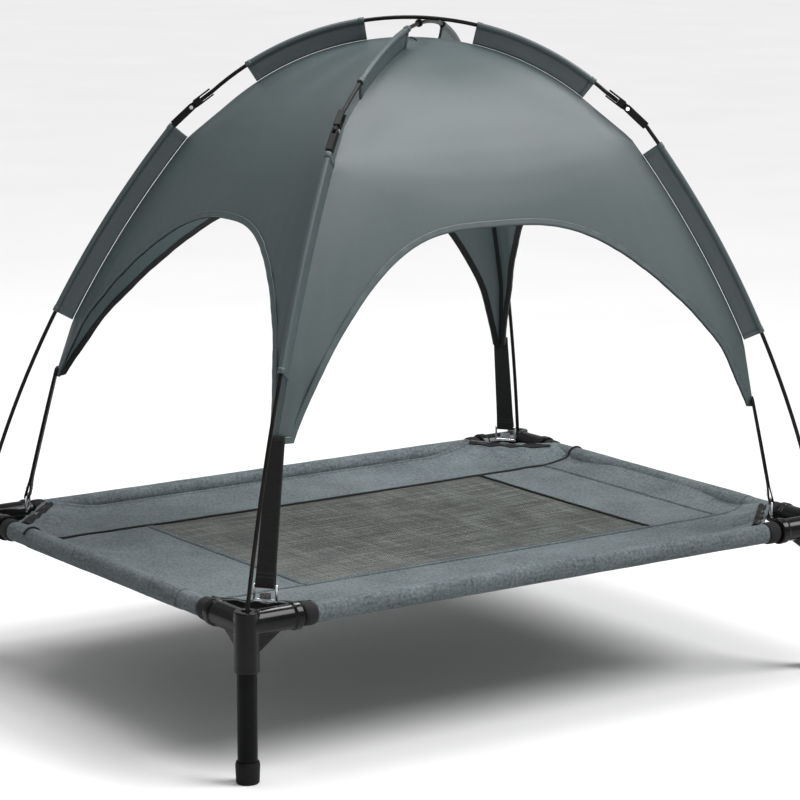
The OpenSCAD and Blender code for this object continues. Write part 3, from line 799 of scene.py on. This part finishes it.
def canopyPanel(i):
    bm = bmesh.new()
    span = (seamPoint((i + 1) % 4, 0.3) - seamPoint(i, 0.3)).length

    def shape(a, m):
        u = archEase(a)
        v0 = archShare(i, u)
        v = v0 + (1 - v0) * (1 - (1 - m) ** 1.15)
        return panelPoint(i, u, min(v, 0.9995)), (u * span, v * 900)
    clothGrid(bm, panelGrid["across"], panelGrid["up"], shape)
    bmesh.ops.remove_doubles(bm, verts=bm.verts[:], dist=0.00005)
    bmesh.ops.recalc_face_normals(bm, faces=bm.faces)
    outside = sum(f.normal.dot(f.calc_center_median() - Vector((0, 0, 0.3))) for f in bm.faces)
    if outside < 0:
        bmesh.ops.reverse_faces(bm, faces=bm.faces)
    return keepPiece(bm, corners[i] + "CanopyPanel", "coated", "canopy",
                     [corners[i] + "_canopy_panel"], thickness=canopy["thick"], offset=-1.0)


# hem along the arch and the flat foot of a panel; inside it is bound with black tape
hem = {"width": 7.0, "outer": 0.55, "inner": 1.5, "points": 240, "thick": 0.7}


def hemLine(i):
    us = [archEase(k / hem["points"]) for k in range(hem["points"] + 1)]
    return us, [panelPoint(i, u, archShare(i, u)) for u in us]


# 1 where a normal points outwards at a place in the canopy, or -1
def facing(normal, place):
    return 1 if normal.dot(Vector((place.x, place.y, 60))) > 0 else -1


def hemFrame(i, us, line, k):
    n = panelNormal(i, min(0.998, max(0.002, us[k])), archShare(i, us[k]) + 0.002)
    t = (line[min(k + 2, len(line) - 1)] - line[max(k - 2, 0)]).normalized()
    n = (n - t * n.dot(t)).normalized()
    inward = n.cross(t)
    if inward.z < 0:
        inward = -inward
    return n, inward


def panelHem(i, inside):
    us, line = hemLine(i)
    frames = [hemFrame(i, us, line, k) for k in range(len(us))]
    lengths = [0.0]
    for a, b in zip(line, line[1:]):
        lengths.append(lengths[-1] + (b - a).length)
    bm = bmesh.new()
    lift = -hem["inner"] if inside else hem["outer"]

    def shape(u, w):
        k = int(round(u * (len(us) - 1)))
        n, inward = frames[k]
        wave = 0.15 * math.sin(lengths[k] * 0.35)
        point = line[k] + inward * (w * hem["width"] - 0.4) + n * facing(n, line[k]) * (lift + wave)
        return point, (lengths[k], w * hem["width"])
    clothGrid(bm, len(us) - 1, 4, shape)
    bmesh.ops.recalc_face_normals(bm, faces=bm.faces)
    if inside:
        return [keepPiece(bm, corners[i] + "InnerBinding", "tape", "canopy",
                          thickness=hem["thick"])]
    piece = keepPiece(bm, corners[i] + "ArchHem", "coated", "canopy",
                      thickness=hem["thick"])
    bm = bmesh.new()
    row = [place + inward * (hem["width"] - 1.6) + n * facing(n, place) * (lift + 0.45)
           for place, (n, inward) in zip(line, frames)]
    stitchRow(bm, row, [n for n, inward in frames], pitch=3.4, length=2.4, width=0.5)
    mapByPosition(bm)
    return [piece, keepPiece(bm, corners[i] + "HemStitches", "thread", "canopy")]


canopyPanels = [canopyPanel(i) for i in range(4)]
hemParts = [panelHem(i, False) + panelHem(i, True) for i in range(4)]
print("canopy panels made")

# black tape that covers each seam on the inside, from tip to crown
seamTape = {"half": 4.2, "lift": 1.9, "thick": 0.6}


def innerSeam(i):
    bm = bmesh.new()
    before = (i + 3) % 4

    def shape(u, w):
        v = 0.004 + 0.992 * u
        side = (w - 0.5) * 2 * seamTape["half"]
        panel, nearSeam = (i, 0.0) if side >= 0 else (before, 1.0)
        other = panelPoint(panel, abs(nearSeam - 0.03), v, False)
        base = seamPoint(i, v)
        across = (other - base).normalized() * abs(side)
        n = panelNormal(panel, abs(nearSeam - 0.02), min(v, 0.98))
        inside = -1 if n.dot(base - Vector((0, 0, 300))) > 0 else 1
        return base + across + n * inside * seamTape["lift"], (u * 900, side)
    clothGrid(bm, 110, 6, shape)
    bmesh.ops.recalc_face_normals(bm, faces=bm.faces)
    return keepPiece(bm, corners[i] + "SeamTape", "tape", "canopy",
                     thickness=seamTape["thick"])


seamTapes = [innerSeam(i) for i in range(4)]


# sleeve flaps: a loop round the rod, two layers sewn together, and a folded hem at each end
flapShape = {"loop": 3.0, "neck": 3.6, "depth": 20.4, "half": 0.75, "skin": 0.45, "hem": 6.0, "seam": 4.2}


def flapProfile():
    flat = flapShape["depth"] - flapShape["neck"]
    points = [(-flapShape["depth"] + flat * k / 8, flapShape["half"]) for k in range(9)]
    for k in range(1, 16):
        a = math.radians(160 - 320 * k / 16)
        points.append((flapShape["loop"] * math.cos(a), flapShape["loop"] * math.sin(a)))
    return points + [(-flapShape["neck"] - flat * k / 8, -flapShape["half"]) for k in range(9)]


def sleeveFlap(i):
    bm = bmesh.new()
    profile = flapProfile()
    rows = []
    for arc, (t0, t1), seed in ((lowArcs[i], flapLow[i], 0), (topArcs[i], flapHigh[i], 5)):
        side = arc[2].cross(arc[1]).normalized()
        length = 2 * arc[4] * arc[3] * abs(t1 - t0)

        def shape(u, w, arc=arc, t0=t0, t1=t1, side=side, length=length, seed=seed, grow=0.0):
            t = t0 + (t1 - t0) * u
            k = int(round(w * (len(profile) - 1)))
            x, y = profile[k]
            centre = arcPoint(arc, t)
            out = (centre - arc[0]).normalized()
            depth = flapShape["depth"]
            free = smoothStep(0, -depth, x) * smoothStep(-depth - 1, -depth * 0.5, x)
            sway = 1.3 * noise.noise(Vector((u * length * 0.02, i * 3 + seed, 0.5))) * free * 2
            puff = 0.25 * math.sin(u * length * 0.09 + seed) * (1 if y > 0 else -1) * free
            y += math.copysign(grow, y) if abs(y) > 1e-6 else 0
            x += grow if x > 0 else 0
            return centre + out * x + side * (y + sway + puff), (u * length, k * 1.4)
        clothGrid(bm, max(12, round(length / 5)), len(profile) - 1, shape)
        for h0, h1 in ((0.0, flapShape["hem"] / length), (1 - flapShape["hem"] / length, 1.0)):
            def band(u, w, h0=h0, h1=h1, shape=shape):
                return shape(h0 + (h1 - h0) * u, w, grow=0.5)
            clothGrid(bm, 3, len(profile) - 1, band)
        for share in (flapShape["hem"] * 0.72 / length, 1 - flapShape["hem"] * 0.72 / length):
            centre = arcPoint(arc, t0 + (t1 - t0) * share)
            out = (centre - arc[0]).normalized()
            for face in (-1, 1):
                start = centre + out * (1 - flapShape["depth"]) + side * face * 1.75
                row = [start + out * k * 1.7 for k in range(12)]
                rows.append((row, [side * face] * len(row)))
        for face in (-1, 1):
            row = [arcPoint(arc, t0 + (t1 - t0) * k / 60, flapShape["seam"]) + side * face * 1.05
                   for k in range(61)]
            rows.append((row, [side * face] * len(row)))
    bmesh.ops.recalc_face_normals(bm, faces=bm.faces)
    piece = keepPiece(bm, corners[i] + "SleeveFlap", "coated", "canopy",
                      [corners[i] + "_sleeve"], thickness=flapShape["skin"])
    bm = bmesh.new()
    for points, normals in rows:
        stitchRow(bm, points, normals, pitch=3.2, length=2.2, width=0.45)
    mapByPosition(bm)
    return piece, keepPiece(bm, corners[i] + "FlapStitches", "thread", "canopy")


flaps = [sleeveFlap(i) for i in range(4)]
print("sleeve flaps made")

# ---- straps: webbing doubled through the hook's eye, sewn under the canopy tip
strapShape = {"footS": 407.0, "footZ": 26.0, "width": 20.0, "layer": 1.4, "gap": 0.75, "loopR": 2.2,
              "lap": 9.0, "spread": 0.5, "taper": 0.16}


# half the room between the two layers, at a share q of the way down to the eye
def strapGap(q, front):
    eye = (strapShape["loopR"] - strapShape["gap"]) * smoothStep(0.84, 1.0, q)
    return strapShape["gap"] + eye + strapShape["spread"] * front * math.sin(math.pi * q)


def strapLoop(i):
    foot, head = outward(i) * strapShape["footS"] + raised(strapShape["footZ"]), canopyTip(i)
    along = (head - foot).normalized()
    side = Vector((-outward(i).y, outward(i).x, 0))
    out = side.cross(along).normalized()
    if out.dot(outward(i)) < 0:
        out = -out
    length = (head - foot).length
    top = head + along * strapShape["lap"]
    whole = length + strapShape["lap"]
    path = [top - along * whole * k / 25 + out * strapGap(k / 25, 1) for k in range(26)]
    for k in range(1, 12):
        a = math.pi * k / 12
        path.append(foot + (out * math.cos(a) - along * math.sin(a)) * strapShape["loopR"])
    path += [top - along * whole * k / 25 - out * strapGap(k / 25, 0) for k in range(25, -1, -1)]
    bm = bmesh.new()

    def shape(u, w):
        k = int(round(u * (len(path) - 1)))
        share = max(0.0, min(1.0, (path[k] - foot).dot(along) / length))
        width = strapShape["width"] * (1 - strapShape["taper"] * share)
        return path[k] + side * width * (w - 0.5), (u * length * 2, w * width)
    clothGrid(bm, len(path) - 1, 8, shape)
    bmesh.ops.recalc_face_normals(bm, faces=bm.faces)
    piece = keepPiece(bm, corners[i] + "StrapLoop", "tape", "canopy",
                      [corners[i] + "_strap"], thickness=strapShape["layer"])
    bm = bmesh.new()
    for level in (8.0, 12.0):
        centre = foot + along * level
        for face in (-1, 1):
            row = [centre + side * (k - 8) + out * face * 3.6 for k in range(17)]
            stitchRow(bm, row, [out * face] * len(row), pitch=2.4, length=1.8, width=0.5)
    mapByPosition(bm)
    return piece, keepPiece(bm, corners[i] + "StrapStitches", "thread", "canopy")


straps = [strapLoop(i) for i in range(4)]
paintNode("pole_tie", "elbow")
print("straps made")


def surfaceOf(piece):
    return round(sum(f.area for f in piece.data.polygons), 4)


borderParts = {"front": [edgeTapes[0], edgeTapes[1], slingStitches],
               "back": [edgeTapes[2], edgeTapes[3], piping]}
for side in ("front", "back"):
    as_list(borderParts[side])
for i, panel in enumerate(canopyPanels):
    surfaceOf(panel)
    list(hemParts[i])
    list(straps[i])
for i, (flap, stitches) in enumerate(flaps):
    surfaceOf(flap)

# ---- floor, light and world
studio = {"floorSize": 60.0, "floor": ((0.64, 0.64, 0.64), (0.66, 0.66, 0.66)), "world": 0.42, "sun": 4.0,
          "sunFrom": (0.68, -0.50, 0.98), "sunAngle": 34.0}
# the inner light stands in for the daylight that the thin canopy lets through
lamps = {"topLight": {"place": (-0.2, 0.3, 2.6), "aim": (0, 0, 0.2), "size": (1.4, 1.4), "power": 45.0},
         "sideLight": {"place": (-1.2, -2.6, 0.5), "aim": (0, 0, 0.3), "size": (0.5, 1.0), "power": 8.0},
         "innerLight": {"place": (0, 0, 0.60), "aim": (0, 0, 0.1), "size": (0.30, 0.20), "power": 3.0}}
bm = bmesh.new()
bmesh.ops.create_grid(bm, x_segments=2, y_segments=2, size=studio["floorSize"] / 2)
floorMesh = bpy.data.meshes.new("studioFloor")
bm.to_mesh(floorMesh)
bm.free()
studioFloor = bpy.data.objects.new("studioFloor", floorMesh)
bpy.context.scene.collection.objects.link(studioFloor)
floorLook = Nodes("paleFloor")
floorTone = floorLook.noise(floorLook.coords(uv=False), 3, 2)
floorColor = floorLook.ramp(floorTone, [(0.3, studio["floor"][0]), (0.7, studio["floor"][1])])
floorLook.link(floorColor, floorLook.shader.inputs["Base Color"])
floorMesh.materials.append(floorLook.finish(0.6, specular=0.2))


def softLight(name, place, aim, size, power):
    data = bpy.data.lights.new(name, "AREA")
    data.shape = "RECTANGLE"
    data.size, data.size_y = size
    data.energy = power
    lamp = bpy.data.objects.new(name, data)
    bpy.context.scene.collection.objects.link(lamp)
    lamp.location = place
    lamp.rotation_mode = "QUATERNION"
    lamp.rotation_quaternion = (Vector(aim) - Vector(place)).to_track_quat("-Z", "Y")
    lamp.visible_camera = name != "innerLight"


sunData = bpy.data.lights.new("mainLight", "SUN")
sunData.energy = studio["sun"]
sunData.angle = math.radians(studio["sunAngle"])
sun = bpy.data.objects.new("mainLight", sunData)
bpy.context.scene.collection.objects.link(sun)
sun.rotation_mode = "QUATERNION"
sun.rotation_quaternion = Vector(studio["sunFrom"]).to_track_quat("Z", "Y")
for name, values in lamps.items():
    softLight(name, **values)
world = bpy.data.worlds.new("studioAir")
bpy.context.scene.world = world
world.use_nodes = True
world.node_tree.nodes["Background"].inputs["Color"].default_value = (1, 1, 1, 1)
world.node_tree.nodes["Background"].inputs["Strength"].default_value = studio["world"]
bpy.context.scene.view_settings.view_transform = "Standard"
print("studio lit")
